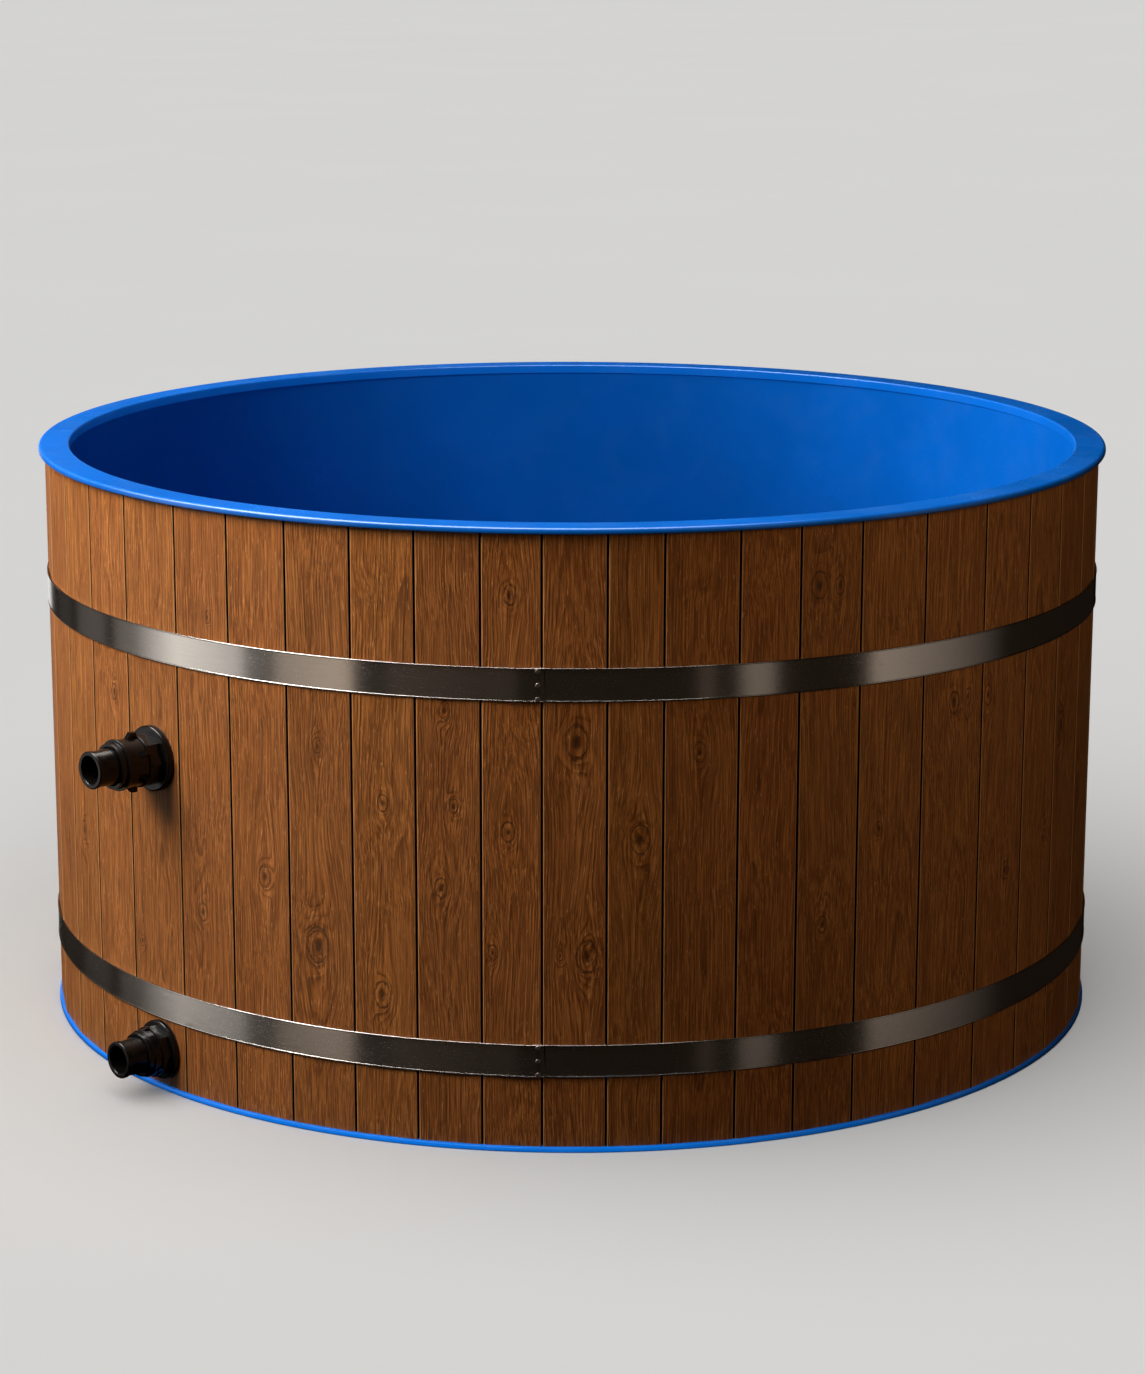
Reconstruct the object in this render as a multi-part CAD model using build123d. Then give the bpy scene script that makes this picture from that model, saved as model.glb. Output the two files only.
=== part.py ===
from build123d import *

# Round cold plunge tub.
#
# A welded blue plastic vessel (floor plate, liner wall and rim) is wrapped in thin foam and clad in
# upright tongue-and-groove staves. The staves stand on the floor plate's flange, under the rim's
# lip, and two riveted steel hoops hold them. Two black hose fittings, one above the other, pass
# through the wall. Each has a body with an inner flange, two gaskets, a flanged back nut, a union
# nut that draws a hose tail and its O-ring against the body, and a grille that clips on inside.
#
# Frame: millimetres, +Z up, origin on the tub's axis at the underside of the floor plate. Azimuths
# are in degrees round the axis, 0 at -Y and growing towards +X.

import os
from dataclasses import dataclass
from math import cos, degrees, radians, sin, sqrt

# Vessel
TUB_HEIGHT = 857.0
LINER_INNER_RADIUS = 757.0
LINER_THICKNESS = 8.0
FLOOR_PLATE_THICKNESS = 8.0
FLOOR_PLATE_OVERHANG = 3.0
FLOOR_PLATE_ROUND = 2.5
FOAM_THICKNESS = 5.0

# Rim: a flat lip over the staves, and a collar with a rounded top that drops inside the liner
RIM_OVERHANG = 9.0
RIM_LIP_THICKNESS = 8.6
RIM_LIP_ROUND = 3.0
RIM_COLLAR_STEP = 2.5
RIM_COLLAR_DEPTH = 14.0
RIM_COLLAR_ROUND = 4.0
RIM_SOCKET_CLEARANCE = 0.1

# Staves: one third of the ring as cover widths in proportion, repeated to fill the ring
STAVE_COVER_WIDTHS = (101, 105, 115, 100, 97, 98, 91, 89, 81, 86, 75, 102, 86, 93, 109, 119, 108)
STAVE_REPEATS = 3
FIRST_STAVE_EDGE = -67.5
STAVE_THICKNESS = 18.0
STAVE_BACK_CLEARANCE = 0.8
STAVE_SIDE_GAP = 0.5
STAVE_ARRIS = 1.6
TONGUE_THICKNESS = 5.0
TONGUE_LENGTH = 5.0
GROOVE_CLEARANCE = 0.3

# Hoops
HOOP_WIDTH = 46.0
HOOP_THICKNESS = 1.5
LOWER_HOOP_HEIGHT = 129.5
UPPER_HOOP_HEIGHT = 647.0
HOOP_LAP_AZIMUTH = -4.3
HOOP_LAP_LENGTH = 16.0
HOOP_JOG_LENGTH = 14.0
HOOP_LAP_CLEARANCE = 0.1

# Rivets, in a column through each hoop's lap
RIVETS_PER_HOOP = 3
RIVET_SPACING = 19.0
RIVET_SHANK_RADIUS = 1.6
RIVET_HEAD_RADIUS = 3.2
RIVET_HEAD_HEIGHT = 1.2
RIVET_HEAD_ROUND = 0.7
RIVET_DIMPLE_RADIUS = 1.0
RIVET_DIMPLE_DEPTH = 0.6

# Hose fittings, both on a 2 inch pipe thread, which is drawn as a plain cylinder
FITTING_STAVE = 3
THREAD_RADIUS = 29.8
BODY_WALL = 5.8
WALL_HOLE_CLEARANCE = 1.2
STATIC_THREAD_CLEARANCE = 0.1
UNION_THREAD_CLEARANCE = 0.3
GASKET_THICKNESS = 2.0
INNER_FLANGE_THICKNESS = 5.0
NUT_FLATS = 8
NUT_COLLAR_LENGTH = 3.0
NUT_EDGE_ROUND = 0.8
TAIL_BORE_INSET = 10.3
TAIL_SHOULDER_INSET = 0.4
TAIL_SHOULDER_THICKNESS = 6.0
TAIL_BEAD_INSET = 3.3
TAIL_BEAD_LENGTH = 4.0
TAIL_END_ROUND = 2.0
UNION_OPENING_INSET = 1.9
UNION_END_CLEARANCE = 0.4
UNION_EDGE_ROUND = 0.7
O_RING_SECTION_RADIUS = 1.5
O_RING_GROOVE_CLEARANCE = 0.1
GRILLE_CLEARANCE = 0.3
GRILLE_SKIRT_THICKNESS = 2.2
GRILLE_PLATE_THICKNESS = 3.0
GRILLE_EDGE_ROUND = 1.2
GRILLE_SLOT_WIDTH = 4.0
GRILLE_SLOT_PITCH = 8.0
GRILLE_SLOT_MARGIN = 7.0


@dataclass
class Fitting:
    """Sizes of one hose fitting. Walls stand out from the thread's radius, insets lie within it."""

    name: str
    height: float
    inner_flange_wall: float
    back_flange_wall: float
    back_flange_thickness: float
    back_nut_wall: float  # to the corners between its flats
    back_collar_wall: float
    back_nut_length: float  # from the gasket
    body_past_back_nut: float
    union_steps: tuple  # wall and length of each step, from the wall of the tub outward
    lug_count: int
    lug_wall: float
    lug_width: float
    lug_length: float
    tail_root_inset: float
    tail_neck_inset: float
    tail_past_union: float

    def back_nut_reach(self):
        return GASKET_THICKNESS + self.back_nut_length

    def body_reach(self):
        return self.back_nut_reach() + self.body_past_back_nut

    def union_start(self):
        return self.back_nut_reach() + UNION_END_CLEARANCE

    def union_reach(self):
        return self.union_start() + sum(length for wall, length in self.union_steps)

    def tail_reach(self):
        return self.union_reach() + self.tail_past_union

    def inner_flange_radius(self):
        return THREAD_RADIUS + self.inner_flange_wall


UPPER = Fitting(
    name="upper",
    height=484.0,
    inner_flange_wall=10.2,
    back_flange_wall=16.7,
    back_flange_thickness=8.0,
    back_nut_wall=8.2,
    back_collar_wall=6.8,
    back_nut_length=30.0,
    body_past_back_nut=14.0,
    union_steps=((4.6, 29.0), (6.4, 4.6), (2.4, 9.0)),
    lug_count=6,
    lug_wall=12.7,
    lug_width=8.0,
    lug_length=17.0,
    tail_root_inset=2.6,
    tail_neck_inset=4.8,
    tail_past_union=34.0,
)

LOWER = Fitting(
    name="lower",
    height=59.0,
    inner_flange_wall=8.2,
    back_flange_wall=12.7,
    back_flange_thickness=6.0,
    back_nut_wall=7.2,
    back_collar_wall=6.4,
    back_nut_length=21.0,
    body_past_back_nut=8.0,
    union_steps=((4.0, 11.0), (1.6, 7.6)),
    lug_count=6,
    lug_wall=6.2,
    lug_width=5.0,
    lug_length=9.0,
    tail_root_inset=3.0,
    tail_neck_inset=5.0,
    tail_past_union=34.0,
)


def outward(azimuth):
    """Unit vector from the tub's axis towards that azimuth."""
    return Vector(sin(radians(azimuth)), -cos(radians(azimuth)), 0)


def along(azimuth):
    """Unit vector round the tub at that azimuth, the way azimuths grow."""
    return Vector(cos(radians(azimuth)), sin(radians(azimuth)), 0)


def turned(*corners):
    """A solid of revolution round Z. Each corner is a radius, a height and maybe a rounding."""
    points = [(corner[0], 0, corner[1]) for corner in corners]
    roundings = [corner[2] if len(corner) > 2 else 0 for corner in corners]
    outline = FilletPolyline(*points, radius=roundings, close=True)
    return revolve(make_face(outline), axis=Axis.Z)


def tube(inner, outer, low, high):
    """A plain ring between two radii and two heights."""
    return turned((inner, low), (outer, low), (outer, high), (inner, high))


# Staves


def stave_edges():
    """The azimuths of the ring's joints, one more than there are staves."""
    turn = 360.0 / (STAVE_REPEATS * sum(STAVE_COVER_WIDTHS))
    edges = [FIRST_STAVE_EDGE]
    for width in STAVE_COVER_WIDTHS * STAVE_REPEATS:
        edges.append(edges[-1] + width * turn)
    return edges


def half_angle(start, end):
    return radians((end - start) / 2)


def stave_corner_radius():
    """Radius of the joints at the outer face, set by the widest stave, whose back is nearest in."""
    edges = stave_edges()
    widest = max(half_angle(start, end) for start, end in zip(edges, edges[1:]))
    back = LINER_INNER_RADIUS + LINER_THICKNESS + FOAM_THICKNESS + STAVE_BACK_CLEARANCE
    return (back + STAVE_THICKNESS) / cos(widest)


def stave_face(start, end):
    """Distance of a stave's flat outer face from the tub's axis."""
    return stave_corner_radius() * cos(half_angle(start, end))


def stave_bottom():
    return FLOOR_PLATE_THICKNESS


def stave_top():
    return TUB_HEIGHT - RIM_LIP_THICKNESS


def stave(start, end):
    """A flat board between two joints, with a groove on its first side and a tongue on its second."""
    middle, half = (start + end) / 2, half_angle(start, end)
    face = stave_face(start, end)

    def side(azimuth, radius, inset):
        """A point beside a joint's radial line, inset into the board from it."""
        into_board = 1 if azimuth == start else -1
        return outward(azimuth) * radius + along(azimuth) * (into_board * inset)

    def radius_on_side(distance):
        """How far along its side the board is that far from the tub's axis."""
        return (distance - STAVE_SIDE_GAP * sin(half)) / cos(half)

    tongue_middle = stave_corner_radius() - STAVE_THICKNESS / 2
    tongue = TONGUE_THICKNESS / 2
    groove = tongue + GROOVE_CLEARANCE
    groove_depth = TONGUE_LENGTH + GROOVE_CLEARANCE
    back, front = radius_on_side(face - STAVE_THICKNESS), radius_on_side(face)
    arris = STAVE_ARRIS * along(middle)
    outline = Polyline(
        side(start, back, STAVE_SIDE_GAP),
        side(start, tongue_middle - groove, STAVE_SIDE_GAP),
        side(start, tongue_middle - groove, groove_depth),
        side(start, tongue_middle + groove, groove_depth),
        side(start, tongue_middle + groove, STAVE_SIDE_GAP),
        side(start, front - STAVE_ARRIS, STAVE_SIDE_GAP),
        side(start, front, STAVE_SIDE_GAP) + arris,
        side(end, front, STAVE_SIDE_GAP) - arris,
        side(end, front - STAVE_ARRIS, STAVE_SIDE_GAP),
        side(end, tongue_middle + tongue, STAVE_SIDE_GAP),
        side(end, tongue_middle + tongue, -TONGUE_LENGTH),
        side(end, tongue_middle - tongue, -TONGUE_LENGTH),
        side(end, tongue_middle - tongue, STAVE_SIDE_GAP),
        side(end, back, STAVE_SIDE_GAP),
        close=True,
    )
    return Pos(0, 0, stave_bottom()) * extrude(make_face(outline), stave_top() - stave_bottom())


def fitting_stave():
    """Start and end azimuths of the stave that both fittings pass through."""
    edges = stave_edges()
    return edges[FITTING_STAVE - 1], edges[FITTING_STAVE]


# Vessel


def floor_plate():
    radius = stave_corner_radius() + FLOOR_PLATE_OVERHANG
    return turned(
        (0, 0),
        (radius, 0, FLOOR_PLATE_ROUND),
        (radius, FLOOR_PLATE_THICKNESS, FLOOR_PLATE_ROUND),
        (0, FLOOR_PLATE_THICKNESS),
    )


def liner_wall():
    outer = LINER_INNER_RADIUS + LINER_THICKNESS
    return tube(LINER_INNER_RADIUS, outer, FLOOR_PLATE_THICKNESS, stave_top()) - wall_holes()


def foam_jacket():
    inner = LINER_INNER_RADIUS + LINER_THICKNESS
    return tube(inner, inner + FOAM_THICKNESS, stave_bottom(), stave_top()) - wall_holes()


def rim():
    outer = stave_corner_radius() + RIM_OVERHANG
    collar_inner = LINER_INNER_RADIUS - RIM_COLLAR_STEP
    collar_outer = LINER_INNER_RADIUS - RIM_SOCKET_CLEARANCE
    collar_bottom = TUB_HEIGHT - RIM_COLLAR_DEPTH
    return turned(
        (collar_inner, collar_bottom),
        (collar_outer, collar_bottom),
        (collar_outer, stave_top()),
        (outer, stave_top(), RIM_LIP_ROUND),
        (outer, TUB_HEIGHT, RIM_LIP_ROUND),
        (collar_inner, TUB_HEIGHT, RIM_COLLAR_ROUND),
    )


# Hoops


def arc_degrees(length):
    """The angle that a length covers round the hoop."""
    return degrees(length / stave_corner_radius())


def hoop_radii():
    """Inner and outer radius of the hoop's main turn, then of the end that laps over it."""
    inner = stave_corner_radius()
    lapped = inner + HOOP_THICKNESS + HOOP_LAP_CLEARANCE
    return inner, inner + HOOP_THICKNESS, lapped, lapped + HOOP_THICKNESS


def hoop(height):
    """A strip bent round the staves, with its outer end jogged over its inner end."""
    inner, outer, lapped_inner, lapped_outer = hoop_radii()
    lap = arc_degrees(HOOP_LAP_LENGTH / 2)
    under_end = HOOP_LAP_AZIMUTH - lap
    over_end = HOOP_LAP_AZIMUTH + lap + 360
    jog_end = under_end - arc_degrees(2 * HOOP_THICKNESS) + 360
    jog_start = jog_end - arc_degrees(HOOP_JOG_LENGTH)

    def point(radius, azimuth):
        return outward(azimuth) * radius

    def arc(radius, start, end):
        return ThreePointArc(point(radius, start), point(radius, (start + end) / 2), point(radius, end))

    def strip(*outline):
        return Pos(0, 0, height - HOOP_WIDTH / 2) * extrude(make_face(outline), HOOP_WIDTH)

    def drilled(stretch):
        drill = Cylinder(RIVET_SHANK_RADIUS, 4 * (lapped_outer - inner))
        for index in range(RIVETS_PER_HOOP):
            stretch -= rivet_plane(height, index).location * drill
        return stretch

    turn = strip(
        arc(inner, under_end, jog_start),
        Line(point(inner, jog_start), point(outer, jog_start)),
        arc(outer, jog_start, under_end),
        Line(point(outer, under_end), point(inner, under_end)),
    )
    jog = strip(
        Line(point(inner, jog_start), point(lapped_inner, jog_end)),
        Line(point(lapped_inner, jog_end), point(lapped_outer, jog_end)),
        Line(point(lapped_outer, jog_end), point(outer, jog_start)),
        Line(point(outer, jog_start), point(inner, jog_start)),
    )
    over = strip(
        arc(lapped_inner, jog_end, over_end),
        Line(point(lapped_inner, over_end), point(lapped_outer, over_end)),
        arc(lapped_outer, over_end, jog_end),
        Line(point(lapped_outer, jog_end), point(lapped_inner, jog_end)),
    )
    return drilled(turn) + jog + drilled(over)


def rivet_plane(height, index):
    """The frame of one rivet: its origin on the hoop's inner face, +Z outward."""
    offset = RIVET_SPACING * (index - (RIVETS_PER_HOOP - 1) / 2)
    direction = outward(HOOP_LAP_AZIMUTH)
    origin = direction * hoop_radii()[0] + Vector(0, 0, height + offset)
    return Plane(origin, x_dir=along(HOOP_LAP_AZIMUTH), z_dir=direction)


def hoop_rivets(height):
    """Blind rivets with dimpled round heads, their shanks flush inside the hoop."""
    seat = hoop_radii()[3] - hoop_radii()[0]
    crown = seat + RIVET_HEAD_HEIGHT
    rivet = turned(
        (0, 0),
        (RIVET_SHANK_RADIUS, 0),
        (RIVET_SHANK_RADIUS, seat),
        (RIVET_HEAD_RADIUS, seat),
        (RIVET_HEAD_RADIUS, crown, RIVET_HEAD_ROUND),
        (RIVET_DIMPLE_RADIUS, crown),
        (RIVET_DIMPLE_RADIUS, crown - RIVET_DIMPLE_DEPTH),
        (0, crown - RIVET_DIMPLE_DEPTH),
    )
    planes = [rivet_plane(height, index) for index in range(RIVETS_PER_HOOP)]
    return Compound([plane.location * rivet for plane in planes])


# Hose fittings, drawn along +Z with the stave's face at height 0, then placed


def placed(fitting, shape):
    """The shape moved to the fitting's stave, its +Z turned outward and its +Y up."""
    start, end = fitting_stave()
    azimuth = (start + end) / 2
    origin = outward(azimuth) * stave_face(start, end) + Vector(0, 0, fitting.height)
    return Plane(origin, x_dir=along(azimuth), z_dir=outward(azimuth)).location * shape


def wall_holes():
    """The two round holes through liner, foam and stave."""
    wall = stave_face(*fitting_stave()) - LINER_INNER_RADIUS
    drill = Cylinder(THREAD_RADIUS + WALL_HOLE_CLEARANCE, 4 * wall)
    return Compound([placed(fitting, drill) for fitting in (UPPER, LOWER)])


def body_bore_radius():
    return THREAD_RADIUS - BODY_WALL


def inner_flange_seat(fitting):
    """Where the inner flange's flat face lies, a gasket clear of the curved liner at its edges."""
    liner_at_flange_edge = sqrt(LINER_INNER_RADIUS**2 - fitting.inner_flange_radius() ** 2)
    return liner_at_flange_edge - GASKET_THICKNESS - stave_face(*fitting_stave())


def fitting_body(fitting):
    """Inner flange and threaded tube in one moulding."""
    seat = inner_flange_seat(fitting)
    back = seat - INNER_FLANGE_THICKNESS
    return turned(
        (body_bore_radius(), back),
        (fitting.inner_flange_radius(), back),
        (fitting.inner_flange_radius(), seat),
        (THREAD_RADIUS, seat),
        (THREAD_RADIUS, fitting.body_reach()),
        (body_bore_radius(), fitting.body_reach()),
    )


def inner_gasket(fitting):
    """A rubber ring, flat against the flange, before it takes the liner's curve."""
    seat = inner_flange_seat(fitting)
    bore = THREAD_RADIUS + STATIC_THREAD_CLEARANCE
    return tube(bore, fitting.inner_flange_radius(), seat, seat + LINER_THICKNESS)


def inside_liner(fitting):
    """The space inside the liner at the fitting's height."""
    return Pos(0, 0, fitting.height) * Cylinder(LINER_INNER_RADIUS, 4 * fitting.inner_flange_radius())


def outer_gasket(fitting):
    bore = THREAD_RADIUS + STATIC_THREAD_CLEARANCE
    return tube(bore, THREAD_RADIUS + fitting.back_flange_wall, 0, GASKET_THICKNESS)


def back_nut(fitting):
    """A round flange against the gasket, an eight-sided nut, and a round collar at its nose."""
    bore = THREAD_RADIUS + STATIC_THREAD_CLEARANCE
    flange_radius = THREAD_RADIUS + fitting.back_flange_wall
    flange_front = GASKET_THICKNESS + fitting.back_flange_thickness
    collar_radius = THREAD_RADIUS + fitting.back_collar_wall
    reach = fitting.back_nut_reach()
    collar_start = reach - NUT_COLLAR_LENGTH
    flange = turned(
        (bore, GASKET_THICKNESS),
        (flange_radius, GASKET_THICKNESS),
        (flange_radius, flange_front, fitting.back_flange_thickness / 3),
        (bore, flange_front),
    )
    octagon = RegularPolygon(THREAD_RADIUS + fitting.back_nut_wall, NUT_FLATS)
    flats = Pos(0, 0, GASKET_THICKNESS) * extrude(octagon, collar_start - GASKET_THICKNESS)
    collar = turned(
        (bore, collar_start - NUT_EDGE_ROUND),
        (collar_radius, collar_start - NUT_EDGE_ROUND),
        (collar_radius, reach, NUT_EDGE_ROUND),
        (bore, reach),
    )
    return flange + (flats - Cylinder(bore, 4 * reach)) + collar


def union_nut(fitting):
    """A stepped nut with wedge lugs, threaded inside and open at its nose for the hose tail."""
    start = fitting.union_start()
    bore = THREAD_RADIUS + UNION_THREAD_CLEARANCE
    outline = [(bore, start)]
    reach = start
    for wall, length in fitting.union_steps:
        outline.append((THREAD_RADIUS + wall, reach, UNION_EDGE_ROUND))
        reach += length
        outline.append((THREAD_RADIUS + wall, reach, UNION_EDGE_ROUND))
    opening = THREAD_RADIUS - UNION_OPENING_INSET
    shoulder = fitting.body_reach() + TAIL_SHOULDER_THICKNESS + UNION_END_CLEARANCE
    outline += [(opening, reach), (opening, shoulder), (bore, shoulder)]
    nut = turned(*outline)
    root = THREAD_RADIUS + (UNION_THREAD_CLEARANCE + fitting.union_steps[0][0]) / 2
    tip = THREAD_RADIUS + fitting.lug_wall
    lug_end = start + fitting.lug_length
    wedge = Polyline(
        (0, root, start), (0, tip, start), (0, tip, (start + lug_end) / 2), (0, root, lug_end), close=True
    )
    lug = extrude(make_face(wedge), fitting.lug_width / 2, dir=(1, 0, 0), both=True)
    for index in range(fitting.lug_count):
        nut += Rot(0, 0, 360 * index / fitting.lug_count) * lug
    return nut


def tail_shoulder_radius():
    return THREAD_RADIUS - TAIL_SHOULDER_INSET


def o_ring_radius():
    return (body_bore_radius() + tail_shoulder_radius()) / 2


def o_ring_groove():
    """Half the groove's width, which is also half its depth."""
    return O_RING_SECTION_RADIUS + O_RING_GROOVE_CLEARANCE


def hose_tail(fitting):
    """A shoulder inside the union nut, a tapered neck, and a rounded bead at the hose end."""
    start = fitting.body_reach()
    shoulder_end = start + TAIL_SHOULDER_THICKNESS
    end = fitting.tail_reach()
    bore = THREAD_RADIUS - TAIL_BORE_INSET
    root = THREAD_RADIUS - fitting.tail_root_inset
    neck = THREAD_RADIUS - fitting.tail_neck_inset
    bead = THREAD_RADIUS - TAIL_BEAD_INSET
    bead_start = end - TAIL_END_ROUND - TAIL_BEAD_LENGTH
    groove_inner = o_ring_radius() - o_ring_groove()
    groove_outer = o_ring_radius() + o_ring_groove()
    groove_floor = start + 2 * o_ring_groove()
    return turned(
        (bore, start),
        (groove_inner, start),
        (groove_inner, groove_floor),
        (groove_outer, groove_floor),
        (groove_outer, start),
        (tail_shoulder_radius(), start),
        (tail_shoulder_radius(), shoulder_end),
        (root, shoulder_end),
        (neck, bead_start + neck - bead),
        (bead, bead_start),
        (bead, end, TAIL_END_ROUND),
        (bore, end, TAIL_END_ROUND),
    )


def o_ring(fitting):
    middle = fitting.body_reach() + o_ring_groove()
    return Pos(0, 0, middle) * Torus(o_ring_radius(), O_RING_SECTION_RADIUS)


def grille(fitting):
    """A slotted cap that clips over the inner flange, on the water side."""
    skirt_inner = fitting.inner_flange_radius() + GRILLE_CLEARANCE
    skirt_outer = skirt_inner + GRILLE_SKIRT_THICKNESS
    seat = inner_flange_seat(fitting)
    skirt_front = seat - GRILLE_CLEARANCE
    plate_front = seat - INNER_FLANGE_THICKNESS - GRILLE_CLEARANCE
    plate_back = plate_front - GRILLE_PLATE_THICKNESS
    cap = turned(
        (0, plate_back),
        (skirt_outer, plate_back, GRILLE_EDGE_ROUND),
        (skirt_outer, skirt_front),
        (skirt_inner, skirt_front),
        (skirt_inner, plate_front),
        (0, plate_front),
    )
    slotted_radius = fitting.inner_flange_radius() - GRILLE_SLOT_MARGIN
    slots_each_side = int(slotted_radius / GRILLE_SLOT_PITCH)
    for index in range(-slots_each_side, slots_each_side + 1):
        offset = index * GRILLE_SLOT_PITCH
        length = 2 * sqrt(slotted_radius**2 - offset**2)
        if length > 2 * GRILLE_SLOT_WIDTH:
            slot = SlotOverall(length, GRILLE_SLOT_WIDTH, rotation=90)
            cutter = extrude(slot, 3 * GRILLE_PLATE_THICKNESS)
            cap -= Pos(offset, 0, plate_back - GRILLE_PLATE_THICKNESS) * cutter
    return cap


# The whole tub


def vessel_nodes():
    return {
        "floor_plate": floor_plate(),
        "liner_wall": liner_wall(),
        "foam_jacket": foam_jacket(),
        "rim": rim(),
    }


def hoop_nodes():
    nodes = {}
    for name, height in (("upper_hoop", UPPER_HOOP_HEIGHT), ("lower_hoop", LOWER_HOOP_HEIGHT)):
        nodes[name] = hoop(height)
        nodes[f"{name}_rivets"] = hoop_rivets(height)
    return nodes


def stave_nodes():
    """The first third of the staves singly, and each of the others with its like."""
    edges = stave_edges()
    boards = [stave(start, end) for start, end in zip(edges, edges[1:])]
    boards[FITTING_STAVE - 1] -= wall_holes()
    per_third = len(STAVE_COVER_WIDTHS)
    nodes = {}
    for index in range(per_third):
        likes = range(index + per_third, len(boards), per_third)
        nodes[f"stave_{index + 1:02d}"] = boards[index]
        name = "_".join(f"{like + 1:02d}" for like in likes)
        nodes[f"staves_{name}"] = Compound([boards[like] for like in likes])
    return nodes


def fitting_nodes(fitting):
    return {
        f"{fitting.name}_fitting_body": placed(fitting, fitting_body(fitting)),
        f"{fitting.name}_inner_gasket": placed(fitting, inner_gasket(fitting)) & inside_liner(fitting),
        f"{fitting.name}_outer_gasket": placed(fitting, outer_gasket(fitting)),
        f"{fitting.name}_back_nut": placed(fitting, back_nut(fitting)),
        f"{fitting.name}_union_nut": placed(fitting, union_nut(fitting)),
        f"{fitting.name}_hose_tail": placed(fitting, hose_tail(fitting)),
        f"{fitting.name}_o_ring": placed(fitting, o_ring(fitting)),
        f"{fitting.name}_grille": placed(fitting, grille(fitting)),
    }


nodes = vessel_nodes() | hoop_nodes() | stave_nodes() | fitting_nodes(UPPER) | fitting_nodes(LOWER)
os.makedirs("parts", exist_ok=True)
for name, shape in nodes.items():
    export_step(shape, f"parts/{name}.step")
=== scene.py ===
import math
import random

import bmesh
import bpy
from mathutils import Matrix, Vector


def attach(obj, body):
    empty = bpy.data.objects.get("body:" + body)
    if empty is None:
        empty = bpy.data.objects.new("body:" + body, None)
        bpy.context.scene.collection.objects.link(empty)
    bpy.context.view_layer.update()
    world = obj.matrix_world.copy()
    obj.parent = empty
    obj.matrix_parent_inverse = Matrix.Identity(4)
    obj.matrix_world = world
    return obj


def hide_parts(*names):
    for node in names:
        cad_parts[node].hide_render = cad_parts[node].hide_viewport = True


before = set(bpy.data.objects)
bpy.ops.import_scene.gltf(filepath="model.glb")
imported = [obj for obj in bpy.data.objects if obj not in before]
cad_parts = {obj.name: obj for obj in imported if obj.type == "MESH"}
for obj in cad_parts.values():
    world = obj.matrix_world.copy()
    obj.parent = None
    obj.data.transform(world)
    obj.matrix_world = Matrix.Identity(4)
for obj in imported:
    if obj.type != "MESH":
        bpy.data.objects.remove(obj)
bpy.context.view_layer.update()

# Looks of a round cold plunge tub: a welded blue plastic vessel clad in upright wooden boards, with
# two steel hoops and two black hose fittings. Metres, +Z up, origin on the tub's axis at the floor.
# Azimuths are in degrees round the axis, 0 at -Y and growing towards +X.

MM = 0.001

# Vessel
TUB_HEIGHT = 0.857
LINER_INNER_RADIUS = 0.757
LINER_THICKNESS = 0.008
FOAM_THICKNESS = 0.005
FLOOR_PLATE_THICKNESS = 0.008
FLOOR_PLATE_OVERHANG = 0.003
FLOOR_PLATE_ROUND = 0.0025
RIM_OVERHANG = 0.009
RIM_LIP_THICKNESS = 0.0086
RIM_TOP_ROUND = 0.0050
RIM_UNDER_ROUND = 0.0020
RIM_COLLAR_STEP = 0.0025
RIM_COLLAR_DEPTH = 0.014
RIM_COLLAR_ROUND = 0.0024
RIM_SOCKET_CLEARANCE = 0.0001
RIM_COLLAR_FOOT_ROUND = 0.0008
RIM_SEGMENTS = 720
WALL_HOLE_RADIUS = 0.031
DRILL_DEPTH = 0.2
FLAT_MARGIN = 0.0004  # edge loops this far inside a flat face keep its shading flat

# Boards
BOARD_COVER_WIDTHS = (101, 105, 115, 100, 97, 98, 91, 89, 81, 86, 75, 102, 86, 93, 109, 119, 108)
BOARD_REPEATS = 3
FIRST_BOARD_EDGE = -67.5
BOARD_THICKNESS = 0.018
BOARD_BACK_CLEARANCE = 0.0008
BOARD_SIDE_GAP = 0.0005
JOINT_OPENING = 0.0012
BOARD_ARRIS = 0.0022
ARRIS_STEPS = 5
TONGUE_THICKNESS = 0.005
TONGUE_LENGTH = 0.005
GROOVE_CLEARANCE = 0.0003
FITTING_BOARD = 3
FITTING_HEIGHTS = (0.484, 0.059)

# Hoops
HOOP_WIDTH = 0.046
HOOP_THICKNESS = 0.0015
HOOP_HEIGHTS = {"lower_hoop": 0.1295, "upper_hoop": 0.647}
HOOP_BEAD_RADIUS = 0.00115
HOOP_BEAD_SHIFT = 0.0002
HOOP_BEAD_ARC = (146, -61)
HOOP_LAP_AZIMUTH = -4.3
HOOP_LAP_LENGTH = 0.016
HOOP_JOG_LENGTH = 0.060
HOOP_LAP_CLEARANCE = 0.0001
HOOP_STEP = 0.75
HOOP_LAP_STEP = 0.15

# Knots of the front boards: board number, then across from its middle, height and size in mm
FRONT_KNOTS = (
    (3, -39, 210, 5), (4, -9, 281, 8), (5, 7, 351, 9), (6, -3, 545, 6), (6, -6, 267, 15),
    (7, -1, 476, 7), (7, -4, 208, 11), (8, -4, 608, 7), (8, 8, 478, 6), (8, -10, 365, 8),
    (9, -1, 766, 8), (9, -4, 446, 8), (9, -25, 279, 6), (10, 3, 570, 14), (10, 17, 275, 13),
    (10, -10, 277, 5), (11, 7, 436, 12), (12, -2, 552, 8), (14, -19, 766, 11), (14, 6, 764, 8),
    (14, -6, 297, 7), (16, 2, 577, 9), (16, 25, 582, 7), (17, -40, 577, 9), (17, 15, 313, 8),
    (4, 12, 700, 5), (13, 12, 140, 6), (15, -18, 420, 6), (2, 10, 560, 7), (1, -8, 330, 9),
)
KNOTS_PER_BOARD = 4
RING_SPACING = 0.0034

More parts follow.
